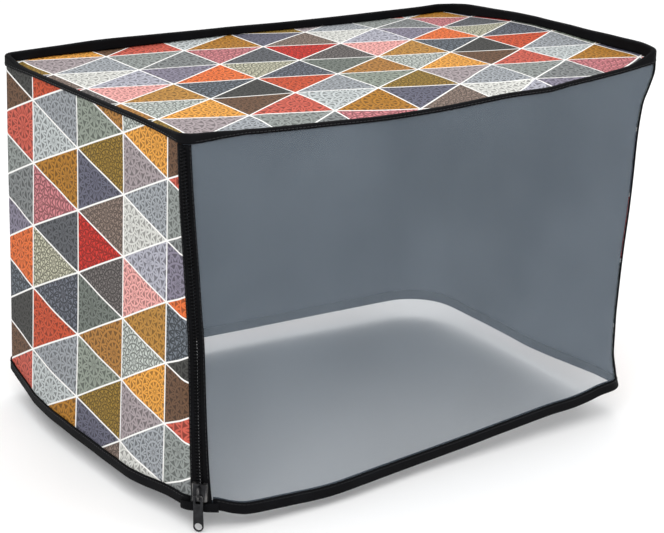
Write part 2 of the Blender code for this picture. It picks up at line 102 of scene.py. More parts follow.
# Stitches
STITCH_PITCH = 0.0034
STITCH_START = 0.12  # shares of the pitch at which a stitch starts and ends
STITCH_END = 0.86
THREAD_RADIUS = 0.00028
STITCH_INSET = 0.0017  # from a folded tape's edge
SEAM_STITCH_START = 0.02  # stations between the front left corner and the seam's row
HEM_STITCH_BACK = 0.0040  # from the hem tape's end beside the zip to its row, on the left side
HEM_STITCH_FRONT = 0.0020  # the same on the front
ZIP_STITCH_INSET = 0.0010
ZIP_STITCHES = (-0.004, -0.266)  # heights of a row's upper and lower end
SIDE_STITCH_BACK = 0.0055  # from the front right corner
SIDE_STITCHES = (-0.006, -0.268)

# Stations count the wall's sides from the front left corner: left 0 to 1, back to 2, right to 3, front to 4
SIDES = 4
FRONT_RIGHT = 3
SIDE_LENGTHS = np.array([DEPTH, WIDTH, DEPTH, WIDTH])

# Share of the front right corner's shift to the hem, at each part of the height
LEANING = (
    (0, 0), (0.05, 0.26), (0.10, 0.60), (0.20, 0.81), (0.30, 0.90), (0.40, 1.02),
    (0.55, 1.28), (0.66, 1.42), (0.76, 1.50), (0.85, 1.50), (0.93, 1.27), (1, 1),
)
# Corners: x, y, hem_dx, hem_dy, whether it leans, top_radius, hem_radius
CORNERS = np.array([
    (-0.2250, -0.1500, 0.0000, 0.0000, 0, 0.011, 0.012),
    (-0.2275, 0.1540, 0.0035, 0.0260, 0, 0.0075, 0.0095),
    (0.2250, 0.1500, -0.0060, 0.0120, 0, 0.014, 0.042),
    (0.2270, -0.1500, -0.0183, 0.0000, 1, 0.008, 0.014),
])

# How far each side bows out at the hem, and the share of it along that side
BOWS = (
    (0.0127, ((0, 0), (0.12, 0.34), (0.25, 0.88), (0.58, 1.0), (0.80, 0.62), (1, 0))),
    (0.0060, ((0, 0), (0.3, 0.7), (0.55, 1.0), (0.8, 0.6), (1, 0))),
    (0.0045, ((0, 0), (0.35, 1.0), (0.7, 0.7), (1, 0))),
    (0.0190, ((0, 0), (0.25, 0.15), (0.5, 0.45), (0.75, 1.0), (0.88, 0.97), (0.95, 0.6), (1, 0))),
)

# The top seam: station, how far it rises above the lid, how high its bound edge stands
TOP_SEAM = np.array([
    (0.000, -0.0023, 0.0076), (0.050, -0.0010, 0.0055), (0.100, 0.0000, 0.0043), (0.150, 0.0005, 0.0036),
    (0.220, 0.0009, 0.0036), (0.420, 0.0004, 0.0036), (0.600, 0.0002, 0.0036), (0.840, -0.0003, 0.0036),
    (0.920, -0.0010, 0.0055), (0.970, -0.0010, 0.0085), (1.000, -0.0006, 0.0092), (1.100, -0.0001, 0.0096),
    (1.200, -0.0006, 0.0110), (1.310, -0.0008, 0.0101), (1.460, -0.0009, 0.0087), (1.600, -0.0024, 0.0084),
    (1.800, -0.0043, 0.0091), (1.930, -0.0044, 0.0088), (2.000, -0.0036, 0.0089), (2.130, -0.0012, 0.0114),
    (2.260, 0.0027, 0.0100), (2.380, 0.0060, 0.0091), (2.490, 0.0075, 0.0086), (2.600, 0.0075, 0.0093),
    (2.710, 0.0069, 0.0102), (2.820, 0.0069, 0.0111), (2.920, 0.0074, 0.0112), (3.000, 0.0053, 0.0106),
    (3.034, 0.0036, 0.0070), (3.062, 0.0021, 0.0040), (3.090, 0.0008, 0.0036), (3.147, -0.0013, 0.0036),
    (3.200, -0.0030, 0.0036), (3.260, -0.0054, 0.0036), (3.335, -0.0049, 0.0036), (3.420, -0.0063, 0.0036),
    (3.500, -0.0074, 0.0036), (3.580, -0.0075, 0.0036), (3.740, -0.0047, 0.0036), (3.850, -0.0023, 0.0036),
    (3.890, -0.0012, 0.0037), (3.926, -0.0014, 0.0052), (3.950, -0.0018, 0.0063), (4.000, -0.0023, 0.0076),
])

# The hem's lower edge: station, how far it hangs below the cut height
HEM_LINE = np.array([
    (0.000, 0.0025), (0.050, 0.0018), (0.090, 0.0014), (0.130, 0.0023), (0.170, 0.0030),
    (0.300, 0.0028), (0.400, 0.0026), (0.500, 0.0018), (0.600, 0.0012), (0.700, 0.0015),
    (0.770, 0.0012), (0.820, -0.0008), (0.880, -0.0022), (0.930, -0.0041), (0.960, -0.0060),
    (1.000, -0.0080), (1.100, -0.0060), (1.250, -0.0010), (1.500, 0.0035), (2.000, 0.0005),
    (2.500, 0.0030), (3.000, -0.0065), (3.054, -0.0051), (3.096, -0.0021), (3.139, -0.0002),
    (3.181, 0.0003), (3.222, 0.0013), (3.263, 0.0025), (3.345, 0.0050), (3.426, 0.0075),
    (3.505, 0.0094), (3.586, 0.0100), (3.665, 0.0105), (3.739, 0.0114), (3.823, 0.0103),
    (3.900, 0.0094), (3.934, 0.0090), (3.960, 0.0066), (3.980, 0.0033), (4.000, 0.0025),
])

# How far in front of the corner the zip's line lies, at each part of the height
ZIP_LINE = (
    (0, -0.0016), (0.15, -0.0001), (0.32, 0.0030), (0.45, 0.0052), (0.56, 0.0067),
    (0.69, 0.0068), (0.81, 0.0070), (0.93, 0.0075), (1, 0.0082),
)
ZIP_SPREAD = 0.3  # how much wider its band is at the hem than at the top
ZIP_DRIFT_REACH = 0.100  # distance from the corner within which the wall's points follow the zip's line

# Soft waves of the wall, shared by all its layers: height, waves round the wall, waves down it, phase
WALL_WAVES = (
    (0.00025, 9, 0.7, 0.3), (0.00015, 17, -1.3, 2.1), (0.00010, 29, 0.9, 4.0),
)
WAVE_FREE = 0.030  # distance from the zip's line within which the wall has no waves
WAVE_BLEND = 0.050


# Wall

def smooth(table, x):
    """A curve through the rows of (position, value) that never swings past them, read at x."""
    table = np.asarray(table, float)
    at, value = table[:, 0], table[:, 1]
    x = np.asarray(x, float)
    steep = np.diff(value) / np.diff(at)
    both = steep[:-1] * steep[1:]
    slope = np.zeros(len(at))
    slope[1:-1] = np.where(both > 0, 2 * both / np.where(both > 0, steep[:-1] + steep[1:], 1.0), 0.0)
    k = np.clip(np.searchsorted(at, x, side="right") - 1, 0, len(at) - 2)
    span = at[k + 1] - at[k]
    u = np.clip((x - at[k]) / span, 0, 1)
    return (
        value[k] * (1 + 2 * u) * (1 - u) ** 2
        + value[k + 1] * u * u * (3 - 2 * u)
        + span * (slope[k] * u * (1 - u) ** 2 - slope[k + 1] * u * u * (1 - u))
    )


def rise(station):
    return smooth(TOP_SEAM[:, [0, 1]], np.asarray(station) % SIDES)


def stand(station):
    return smooth(TOP_SEAM[:, [0, 2]], np.asarray(station) % SIDES)


def hem(station):
    return -HEIGHT - smooth(HEM_LINE, np.asarray(station) % SIDES)


def by_zip(forward):
    """The station this far in front of the zip's line: below 0 on the front, above 0 on the left."""
    forward = np.asarray(forward, float)
    return -forward / np.where(forward > 0, WIDTH, DEPTH)


def zip_spread(t):
    return 1 + ZIP_SPREAD * t


def forward_of(station):
    """Distance in front of the front left corner, negative on the left side."""
    return np.where(station > SIDES / 2, (SIDES - station) * WIDTH, -station * DEPTH)


def drifted(station, t):
    """The station moved along with the zip's line, t being 0 at the top seam and 1 at the hem."""
    forward = forward_of(station)
    hold = np.clip(1 - abs(forward) / ZIP_DRIFT_REACH, 0, None)
    shift = smooth(ZIP_LINE, t) + forward * (zip_spread(t) - 1)
    moved = by_zip(forward + hold * shift) % SIDES
    return np.where(hold > 0, moved, station)


def corner_at(k, t):
    """The sharp corner k and its radius."""
    c = CORNERS[k % SIDES]
    share = np.where(c[..., 4] > 0, smooth(LEANING, t), t)[..., None]
    return c[..., :2] + c[..., 2:4] * share, c[..., 5] + (c[..., 6] - c[..., 5]) * t


def unit(vectors):
    return vectors / np.linalg.norm(vectors, axis=-1, keepdims=True)


def rounded(k, share, t):
    """The point at this share of the arc round corner k, from one tangent point to the other."""
    here, radius = corner_at(k, t)
    radius = radius[..., None]
    before = here + unit(corner_at(k - 1, t)[0] - here) * radius
    after = here + unit(corner_at(k + 1, t)[0] - here) * radius
    weights = (1 - share) ** 2, 2 * share * (1 - share) * math.cos(math.pi / 4), share**2
    total = sum(point * w[..., None] for point, w in zip((before, here, after), weights))
    return total / sum(weights)[..., None]


def waves(station, t):
    """The soft waves of the hanging wall, none at the top seam and beside the zip."""
    away = np.clip((abs(forward_of(station)) - WAVE_FREE) / WAVE_BLEND, 0, 1)
    total = 0.0
    for height, around, down, phase in WALL_WAVES:
        total = total + height * np.sin(math.tau * (around * station / SIDES + down * t) + phase)
    return total * away * np.clip(t * 4, 0, 1)


def on_wall(station, t):
    """The point of the wall's level section at a station."""
    station, t = np.broadcast_arrays(np.asarray(station, float), np.asarray(t, float))
    station = drifted(station % SIDES, t)
    k = np.minimum(station.astype(int), SIDES - 1)
    along = station - k
    here, radius = corner_at(k, t)
    after, next_radius = corner_at(k + 1, t)
    side = after - here
    length = np.linalg.norm(side, axis=-1)
    passed, left = along * length, (1 - along) * length
    point = here + side * along[..., None]
    first = rounded(k, 0.5 + 0.5 * np.minimum(passed / radius, 1), t)
    last = rounded(k + 1, 0.5 - 0.5 * np.minimum(left / next_radius, 1), t)
    point = np.where((passed < radius)[..., None], first, point)
    point = np.where((left < next_radius)[..., None], last, point)
    ahead = side / length[..., None]
    bow = np.zeros_like(along)
    for n, (reach, shares) in enumerate(BOWS):
        bow = np.where(k == n, reach * smooth(shares, along), bow)
    bow = bow * np.clip(t, 0, None) ** 1.5 + waves(station, t)
    return point + np.stack([-ahead[..., 1], ahead[..., 0]], -1) * bow[..., None]


def place(station, z, out=0.0):
    """Points at these heights on the wall, moved out from the middle of the skirt cloth."""
    station, z, out = np.broadcast_arrays(*(np.asarray(part, float) for part in (station, z, out)))
    t = -z / HEIGHT
    step = 0.002  # of a station, to each side of the point
    ahead = unit(on_wall(station + step, t) - on_wall(station - step, t))
    normal = np.stack([-ahead[..., 1], ahead[..., 0]], -1)
    level = on_wall(station, t) + normal * out[..., None]
    return np.concatenate([level, z[..., None]], -1)


def stations(start, end, pace=0.0030):
    """Stations from start to end, this far apart or nearer, with each corner's own among them."""
    found = [start]
    for k in range(math.floor(start), math.ceil(end)):
        low, high = max(start, k), min(end, k + 1)
        count = max(math.ceil((high - low) * SIDE_LENGTHS[k % SIDES] / pace), 1)
        found += list(low + (high - low) * np.arange(1, count + 1) / count)
    return np.array(found)


def arc_length(station):
    """Distance round the wall from the front left corner, in metres."""
    ends = np.concatenate([[0], np.cumsum(SIDE_LENGTHS)])
    return np.interp(station, np.arange(SIDES + 1), ends) + np.minimum(station, 0) * WIDTH


# Meshes

SOFT_EDGE = 0.35


def shell(name, middle, thickness, finishes, cloth_uv, print_uv=None, closed=False, capped=False):
    """A sheet of this thickness about the grid middle[column, row], whose outer side has finishes[0].

    Rows run upward and columns clockwise from above, so that the outer side faces outward. A closed
    sheet's last column lies on its first. The cut edges are rounded by SOFT_EDGE of the thickness, and
    a capped sheet is filled inside its last row instead.
    """
    columns, rows = middle.shape[:2]
    down_column = np.gradient(middle, axis=1)
    if closed:
        ahead = np.roll(middle[:-1], -1, axis=0) - np.roll(middle[:-1], 1, axis=0)
        ahead = np.concatenate([ahead, ahead[:1]])
    else:
        ahead = np.gradient(middle, axis=0)
    normal = unit(np.cross(down_column, ahead))
    kept = columns - 1 if closed else columns
    half = thickness / 2
    outer = (middle + normal * half)[:kept].reshape(-1, 3)
    inner = (middle - normal * half)[:kept].reshape(-1, 3)
    lies_at = (np.arange(columns)[:, None] % kept) * rows + np.arange(rows)
    size = kept * rows
    a, b = lies_at[:-1, :-1], lies_at[1:, :-1]
    c, d = lies_at[1:, 1:], lies_at[:-1, 1:]
    quads = np.stack([a, d, c, b], -1).reshape(-1, 4)
    at = np.arange(columns * rows).reshape(columns, rows)
    quad_uv = np.stack([at[:-1, :-1], at[:-1, 1:], at[1:, 1:], at[1:, :-1]], -1).reshape(-1, 4)

    if closed:
        edges = [(at[:, 0], False), (at[::-1, -1], False)][: 1 if capped else 2]
    else:
        loop = np.concatenate([at[:, 0], at[-1, 1:], at[-2::-1, -1], at[0, -2:0:-1]])
        edges = [(loop, True)]
    points = [outer, inner]
    faces, face_uv, index = [quads, quads[:, ::-1] + size], [quad_uv, quad_uv[:, ::-1]], []
    index += [np.zeros(len(quads), int), np.full(len(quads), min(1, len(finishes) - 1))]
    flat_middle, flat_normal = middle.reshape(-1, 3), normal.reshape(-1, 3)
    count = 2 * size
    for loop, wraps in edges:
        ring = np.append(loop, loop[0]) if wraps else loop
        path = flat_middle[ring]
        run = np.gradient(path, axis=0)
        if wraps:
            run[0] = run[-1] = path[1] - path[-2]
        away = unit(np.cross(run, flat_normal[ring])) * thickness * SOFT_EDGE
        rim = (path + away)[:-1] if wraps or closed else path + away
        points.append(rim)
        on_rim = count + np.arange(len(ring)) % len(rim)
        count += len(rim)
        on_outer = lies_at.reshape(-1)[ring]
        for first, second in ((on_outer, on_rim), (on_rim, on_outer + size)):
            faces.append(np.stack([first[:-1], first[1:], second[1:], second[:-1]], -1))
            face_uv.append(np.stack([ring[:-1], ring[1:], ring[1:], ring[:-1]], -1))
            index.append(np.zeros(len(ring) - 1, int))

    faces = [face for group in faces for face in group.tolist()]
    face_uv = [face for group in face_uv for face in group.tolist()]
    if capped:
        last, last_uv = lies_at[:-1, -1], at[:-1, -1]
        faces += [last[::-1].tolist(), (last + size).tolist()]
        face_uv += [last_uv[::-1].tolist(), last_uv.tolist()]
        index.append(np.array([0, min(1, len(finishes) - 1)]))

    mesh = bpy.data.meshes.new(name)
    corners = np.concatenate(face_uv)
    mesh.from_pydata(np.concatenate(points).tolist(), [], faces)
    for label, values in (("Cloth", cloth_uv), ("Print", print_uv)):
        if values is not None:
            layer = mesh.uv_layers.new(name=label)
            layer.data.foreach_set("uv", values.reshape(-1, 2)[corners].ravel())
    for finish in finishes:
        mesh.materials.append(finish)
    mesh.polygons.foreach_set("material_index", np.concatenate(index))
    mesh.shade_smooth()
    mesh.update()
    return add_object(name, mesh)


def add_object(name, data):
    made = bpy.data.objects.new(name, data)
    bpy.context.scene.collection.objects.link(made)
    return made


def outward_mesh(made):
    """Turns the faces of a closed mesh outward."""
    bm = bmesh.new()
    bm.from_mesh(made.data)
    bmesh.ops.recalc_face_normals(bm, faces=bm.faces)
    bm.to_mesh(made.data)
    bm.free()
    return made


def tubes(name, paths, side_ways, up_ways, radii, finish, sides):
    """One mesh of closed tubes, one along each path, with a radius for each of its points."""
    count, length = paths.shape[:2]
    turn = np.linspace(0, math.tau, sides, endpoint=False)[:, None]
    ring = side_ways[:, :, None] * np.cos(turn) + up_ways[:, :, None] * np.sin(turn)
    points = paths[:, :, None] + ring * radii[:, None, None]
    one = np.arange(length * sides).reshape(length, sides)
    after = np.roll(one, -1, axis=1)
    quads = np.stack([one[:-1], after[:-1], after[1:], one[1:]], -1).reshape(-1, 4)
    first = np.arange(count)[:, None, None] * length * sides
    faces = (quads + first).reshape(-1, 4).tolist()
    faces += (one[0, ::-1] + first[:, 0]).tolist() + (one[-1] + first[:, 0]).tolist()
    mesh = bpy.data.meshes.new(name)
    mesh.from_pydata(points.reshape(-1, 3).tolist(), [], faces)
    mesh.materials.append(finish)
    mesh.shade_smooth()
    return outward_mesh(add_object(name, mesh))


# Shader fields

class Field:
    """A value in a node tree. Arithmetic on it adds Math nodes."""

    def __init__(self, tree, socket):
        self.tree = tree
        self.socket = socket

    def math(self, operation, *others):
        node = self.tree.nodes.new("ShaderNodeMath")
        node.operation = operation
        for socket, value in zip(node.inputs, (self, *others)):
            if isinstance(value, Field):
                self.tree.links.new(value.socket, socket)
            else:
                socket.default_value = value
        return Field(self.tree, node.outputs[0])

    def __add__(self, other):
        return self.math("ADD", other)

    def __sub__(self, other):
        return self.math("SUBTRACT", other)

    def __mul__(self, other):
        return self.math("MULTIPLY", other)

    def __truediv__(self, other):
        return self.math("DIVIDE", other)

    def __mod__(self, other):
        return self.math("FLOORED_MODULO", other)

    def __abs__(self):
        return self.math("ABSOLUTE")

    __radd__ = __add__
    __rmul__ = __mul__

    def __rsub__(self, other):
        return self * -1.0 + other

    def floor(self):
        return self.math("FLOOR")

    def sin(self):
        return self.math("SINE")

    def cos(self):
        return self.math("COSINE")

    def sqrt(self):
        return self.math("SQRT")

    def above(self, other):
        return self.math("GREATER_THAN", other)

    def least(self, other):
        return self.math("MINIMUM", other)

    def most(self, other):
        return self.math("MAXIMUM", other)

    def step(self, start, end):
        """0 at start, 1 at end and smooth between them; start may be the larger."""
        node = self.tree.nodes.new("ShaderNodeMapRange")
        node.interpolation_type = "SMOOTHSTEP"
        flipped = start > end
        low, high = (end, start) if flipped else (start, end)
        self.tree.links.new(self.socket, node.inputs["Value"])
        node.inputs["From Min"].default_value = low
        node.inputs["From Max"].default_value = high
        node.inputs["To Min"].default_value = 1.0 if flipped else 0.0
        node.inputs["To Max"].default_value = 0.0 if flipped else 1.0
        return Field(self.tree, node.outputs["Result"])

    def between(self, low, high):
        """low where this is 0 and high where it is 1."""
        if isinstance(low, Field):
            return low + (high - low) * self
        return self * (high - low) + low


class Finish:
    """A material under construction."""

    def __init__(self, name, roughness, **sockets):
        self.material = bpy.data.materials.new(name)
        self.material.use_nodes = True
        self.tree = self.material.node_tree
        self.shader = self.tree.nodes["Principled BSDF"]
        self.shader.inputs["Roughness"].default_value = roughness
        for socket, value in sockets.items():
            self.shader.inputs[socket.replace("_", " ")].default_value = value

    def uv(self, layer):
        """The two fields of a UV layer."""
        node = self.tree.nodes.new("ShaderNodeUVMap")
        node.uv_map = layer
        split = self.tree.nodes.new("ShaderNodeSeparateXYZ")
        self.tree.links.new(node.outputs["UV"], split.inputs["Vector"])
        return Field(self.tree, split.outputs["X"]), Field(self.tree, split.outputs["Y"])

    def joined(self, x, y, z=0.0):
        node = self.tree.nodes.new("ShaderNodeCombineXYZ")
        for socket, value in zip(node.inputs, (x, y, z)):
            if isinstance(value, Field):
                self.tree.links.new(value.socket, socket)
            else:
                socket.default_value = value
        return node.outputs["Vector"]

    def grey(self, value):
        """A colour socket of equal parts of a field."""
        return self.joined(value, value, value)

    def noise(self, scale, detail=2.0, vector=None, roughness=0.5):
        node = self.tree.nodes.new("ShaderNodeTexNoise")
        node.inputs["Scale"].default_value = scale
        node.inputs["Detail"].default_value = detail
        node.inputs["Roughness"].default_value = roughness
        if vector is None:
            where = self.tree.nodes.new("ShaderNodeTexCoord")
            vector = where.outputs["Object"]
        self.tree.links.new(vector, node.inputs["Vector"])
        return Field(self.tree, node.outputs["Fac"])

    def random(self, seed):
        """Three fields that depend on the seed field alone."""
        node = self.tree.nodes.new("ShaderNodeTexWhiteNoise")
        node.noise_dimensions = "1D"
        self.tree.links.new(seed.socket, node.inputs["W"])
        split = self.tree.nodes.new("ShaderNodeSeparateColor")
        self.tree.links.new(node.outputs["Color"], split.inputs["Color"])
        return [Field(self.tree, socket) for socket in split.outputs]

    def ramp(self, value, stops, constant=False):
        """A colour for each (position, colour) of the stops."""
        node = self.tree.nodes.new("ShaderNodeValToRGB")
        node.color_ramp.interpolation = "CONSTANT" if constant else "LINEAR"
        points = node.color_ramp.elements
        while len(points) < len(stops):
            points.new(1.0)
        for point, (position, colour) in zip(points, stops):
            point.position = position
            point.color = (*colour, 1.0)
        self.tree.links.new(value.socket, node.inputs["Fac"])
        return node.outputs["Color"]

    def mix(self, factor, first, second, blend="MIX"):
        """A colour from first to second, each a colour socket or a plain colour."""
        node = self.tree.nodes.new("ShaderNodeMix")
        node.data_type = "RGBA"
        node.blend_type = blend
        sockets = [s for s in node.inputs if s.enabled]
        for socket, value in zip(sockets, (factor, first, second)):
            if isinstance(value, Field):
                self.tree.links.new(value.socket, socket)
            elif isinstance(value, bpy.types.NodeSocket):
                self.tree.links.new(value, socket)
            elif isinstance(value, tuple):
                socket.default_value = (*value, 1.0)
            else:
                socket.default_value = value
        return next(s for s in node.outputs if s.enabled)

    def colour(self, socket):
        self.tree.links.new(socket, self.shader.inputs["Base Color"])

    def roughness(self, value):
        self.tree.links.new(value.socket, self.shader.inputs["Roughness"])

    def bump(self, *layers):
        """Relief from (height field, distance in metres) pairs."""
        below = None
        for height, distance in layers:
            node = self.tree.nodes.new("ShaderNodeBump")
            node.inputs["Distance"].default_value = distance
            node.inputs["Strength"].default_value = 1.0
            self.tree.links.new(height.socket, node.inputs["Height"])
            if below is not None:
                self.tree.links.new(below, node.inputs["Normal"])
            below = node.outputs["Normal"]
        self.tree.links.new(below, self.shader.inputs["Normal"])


def linear(red, green, blue):
    """A colour given in 8-bit display values."""
    parts = [c / 255 for c in (red, green, blue)]
    return tuple(c / 12.92 if c < 0.0405 else ((c + 0.055) / 1.055) ** 2.4 for c in parts)


def weave(across, along, pitch):
    """The height of a plain weave, from 0 to 1, with threads this far apart."""
    x, y = across * (math.pi / pitch), along * (math.pi / pitch)
    over = x.sin() * y.sin()
    return over * ((x * 2.0).cos() - (y * 2.0).cos()) * 0.25 + abs(over) * 0.5


# The print's repeat, strip by strip and row by row: triangles on a strip's left line and right line by turns
PRINT = (
    ((176, 72, 44), (140, 144, 148), (165, 170, 170), (152, 104, 34),
     (200, 125, 130), (82, 84, 88), (190, 188, 165), (104, 108, 118)),
    ((125, 132, 122), (150, 120, 50), (88, 88, 102), (135, 118, 108),
     (200, 50, 40), (112, 106, 104), (100, 106, 100), (150, 105, 50)),
    ((190, 196, 190), (200, 140, 60), (150, 140, 142), (140, 144, 148),
     (195, 195, 190), (155, 155, 165), (210, 150, 145), (165, 120, 55)),
    ((95, 70, 52), (174, 80, 66), (130, 135, 132), (115, 118, 118),
     (120, 115, 130), (202, 100, 50), (105, 112, 120), (62, 62, 60)),
)
KINDS_OF_STRIP = 4.0
STRIP_COLOURS = 8.0
STRIP_WIDTH = 70.0  # millimetres, as are the sizes of the print's lines below
ROW_PITCH = 54.0
LINE_HALF = 0.75
LINE_EDGE = 0.18
SLANT_SQUARE = 0.94  # distance square to a slanted line, as a share of that along the strip
THREAD_PITCH = 0.00045


def printed_cloth():
    """Triangle patchwork with white lines, each triangle filled with rings of petals and dots."""
    made = Finish("printed_cloth", 0.75, Specular_IOR_Level=0.15)
    column, row = made.uv("Print")
    strip = column.floor()
    across = column - strip
    kind = strip % KINDS_OF_STRIP
    level = row + 1.0 - (kind % 2.0) * 0.5
    whole = level.floor()
    part = level - whole - 0.5
    inside = (1.0 - across) * 0.5 - abs(part)
    on_left = inside.above(0.0)
    nearest = (level + 0.5).floor()
    in_strip = on_left.between(nearest * 2.0 - 1.0, whole * 2.0) % STRIP_COLOURS
    number = (kind * STRIP_COLOURS + in_strip + 0.5).floor()
    colours = [linear(*colour) for strip_colours in PRINT for colour in strip_colours]
    stops = [(k / len(colours), colour) for k, colour in enumerate(colours)]
    base = made.ramp((number + 0.5) / float(len(colours)), stops, constant=True)

    # Rings of petals about a point of each triangle
    first, second, third = made.random(number)
    x = (across - on_left.between(2 / 3, 1 / 3)) * STRIP_WIDTH - (first - 0.5) * 24.0
    y = on_left.between(level - nearest, part) * ROW_PITCH - (second - 0.5) * 18.0
    radius = (x * x + y * y).sqrt()
    turn = y.math("ARCTAN2", x) / math.tau
    rings = radius / (third * 4.0 + 6.5)
    ring = rings.floor()
    depth = rings - ring
    petals = (first * 3.0).floor() * 2.0 + 6.0 + ring * 5.0
    petal = turn * petals
    petal = petal - (petal + 0.5).floor()
    arch = abs(depth - (petal * math.pi).cos() * 0.60 - 0.12).step(0.22, 0.12)
    rim = abs(depth - 0.5).step(0.36, 0.44)
    dot = (petal * petal * 3.2 + (depth - 0.32) * (depth - 0.32)).sqrt().step(0.30, 0.20)
    scallop = abs(depth - (petal * math.tau).cos() * 0.22 - 0.55).step(0.20, 0.10)
    ornament = second.above(0.5).between(arch, scallop).most(rim).most(dot)
    light = third.above(0.45)
    strong = (first + third) * 0.15 + 0.60
    shade = made.mix(1.0, base, made.grey(1.05 - ornament * strong), "MULTIPLY")
    tint = made.mix(1.0, base, made.grey(0.52 + ornament * strong * 0.95), "MULTIPLY")
    tile = made.mix(light, shade, tint)

    # White lines between the triangles
    to_side = across.least(1.0 - across) * STRIP_WIDTH
    to_slant = abs(inside) * (ROW_PITCH * SLANT_SQUARE)
    line = to_side.least(to_slant).step(LINE_HALF + LINE_EDGE, LINE_HALF - LINE_EDGE)
    ink = made.mix(line, tile, linear(242, 241, 238))

    u, v = made.uv("Cloth")
    threads = weave(u, v, THREAD_PITCH)
    cloudy = made.noise(26.0, 4.0)
    worn = made.mix(cloudy.step(0.35, 0.75) * 0.05, ink, linear(120, 118, 116))
    threaded = made.mix(threads * 0.12, worn, (0.0, 0.0, 0.0))
    made.colour(threaded)
    made.roughness(cloudy.between(0.62, 0.82))
    made.bump((cloudy, 0.0004), (threads, 0.00010))
    return made.material


def coated_reverse():
    """The slate grey coated reverse of the printed cloth."""
    made = Finish("coated_reverse", 0.5, Specular_IOR_Level=0.2)
    u, v = made.uv("Cloth")
    threads = weave(u, v, THREAD_PITCH)
    cloudy = made.noise(14.0, 5.0)
    tone = made.mix(cloudy.step(0.3, 0.7), linear(80, 87, 97), linear(92, 99, 109))
    made.colour(made.mix(threads * 0.06, tone, linear(56, 62, 70)))
    made.roughness(cloudy.between(0.50, 0.65))
    made.bump((cloudy, 0.0001), (threads, 0.000005))
    return made.material


def clear_film():
    """Soft clear film with a cool tint, faint rubbed streaks and flow waves."""
    made = Finish("clear_film", 0.10, Alpha=0.26, IOR=1.5, Specular_IOR_Level=0.5, Coat_Weight=0.3,
                  Coat_Roughness=0.06)
    u, v = made.uv("Cloth")
    streaks = made.noise(1.0, 4.0, made.joined(u * 60.0, v * 9.0))
    haze = made.noise(7.0, 3.0)
    made.colour(made.mix(haze.step(0.3, 0.7), linear(104, 116, 128), linear(122, 134, 146)))
    made.roughness(streaks.step(0.35, 0.8).between(0.10, 0.20))
    made.bump((haze, 0.0010), (streaks, 0.00001))
    return made.material


def black_tape():
    """Black woven binding with fine ribs across it, rubbed a little lighter."""
    made = Finish("black_tape", 0.7, Specular_IOR_Level=0.08)
    u, v = made.uv("Cloth")
    ribs = (u * (math.tau / 0.0007)).sin() * 0.5 + 0.5
    threads = weave(u, v, 0.0005)
    wear = made.noise(40.0, 5.0)
    tone = made.mix(wear.step(0.42, 0.78), linear(4, 4, 6), linear(11, 12, 15))
    made.colour(made.mix(threads * 0.12, tone, linear(22, 23, 27)))
    made.roughness(wear.between(0.6, 0.8))
    made.bump((wear, 0.0003), (ribs, 0.00008), (threads, 0.00008))
    return made.material


def thread_finish():
    """Black sewing thread with a twist."""
    made = Finish("sewing_thread", 0.6, Sheen_Weight=0.05, Specular_IOR_Level=0.25)
    wear = made.noise(300.0, 3.0)
    made.colour(made.mix(wear, linear(12, 12, 14), linear(30, 30, 33)))
    twist = made.noise(1500.0, 2.0)
    made.roughness(wear.between(0.4, 0.6))
    made.bump((twist, 0.0001))
    return made.material


def coil_finish():
    """Black nylon coil, slightly glossy."""
    made = Finish("zip_coil_nylon", 0.6, Specular_IOR_Level=0.12)
    wear = made.noise(220.0, 3.0)
    made.colour(made.mix(wear.step(0.4, 0.8), linear(7, 7, 9), linear(18, 19, 21)))
    made.roughness(wear.between(0.55, 0.7))
    made.bump((wear, 0.00012))
    return made.material


def black_metal():
    """Black lacquered metal, rubbed through a little at its edges."""
    made = Finish("black_zip_metal", 0.35, Metallic=0.7, Specular_IOR_Level=0.5)
    wear = made.noise(160.0, 5.0)
    edge = made.tree.nodes.new("ShaderNodeNewGeometry").outputs["Pointiness"]
    rubbed = Field(made.tree, edge).step(0.52, 0.60) * wear.step(0.4, 0.7)
    tone = made.mix(wear.step(0.3, 0.8), linear(20, 20, 22), linear(46, 47, 50))
    made.colour(made.mix(rubbed, tone, linear(120, 118, 116)))
    made.roughness(wear.between(0.25, 0.48))
    made.bump((wear, 0.00006))
    return made.material


# The print's strip lines on the left wall: strip, station at the seam and at the hem, how deep its first
# row lies, and the pitch of its rows
WALL_LINES = np.array([
    (-1, 1.075, 1.080, 0.0240, 0.0570),
    (0, 0.819, 0.802, 0.0205, 0.0540),
    (1, 0.560, 0.519, 0.0174, 0.0510),
    (2, 0.306, 0.286, 0.0135, 0.0487),
    (3, 0.078, 0.112, 0.0096, 0.0477),
    (4, -0.155, -0.115, 0.0060, 0.0470),
])
ROW_GROWTH = 0.00033  # how much wider each row is than half the row above it
STRIPS_PER_METRE = 1 / 0.073


def wall_print(station, z):
    """The print's column and row at points of the wall."""
    t = -z / HEIGHT
    where = drifted(station % SIDES, t)
    where = np.where(where > FRONT_RIGHT + 0.5, where - SIDES, where)
    left = np.where(where < 0, where * WIDTH / DEPTH, np.minimum(where, 1.0))
    strips, at_seam, at_hem, starts, pitches = WALL_LINES.T
    lines = [seam + (foot - seam) * t for seam, foot in zip(at_seam, at_hem)]
    passed = [np.clip((line - left) / (line - after), 0, 1) for line, after in zip(lines, lines[1:])]
    column = strips[0] + sum(passed)
    pitch = np.interp(column, strips, pitches)
    below = -z - np.interp(column, strips, starts)
    past = arc_length(np.maximum(where, 1.0)) - DEPTH
    return np.stack([column - past * STRIPS_PER_METRE, below / (pitch + ROW_GROWTH * below / pitch)], -1)


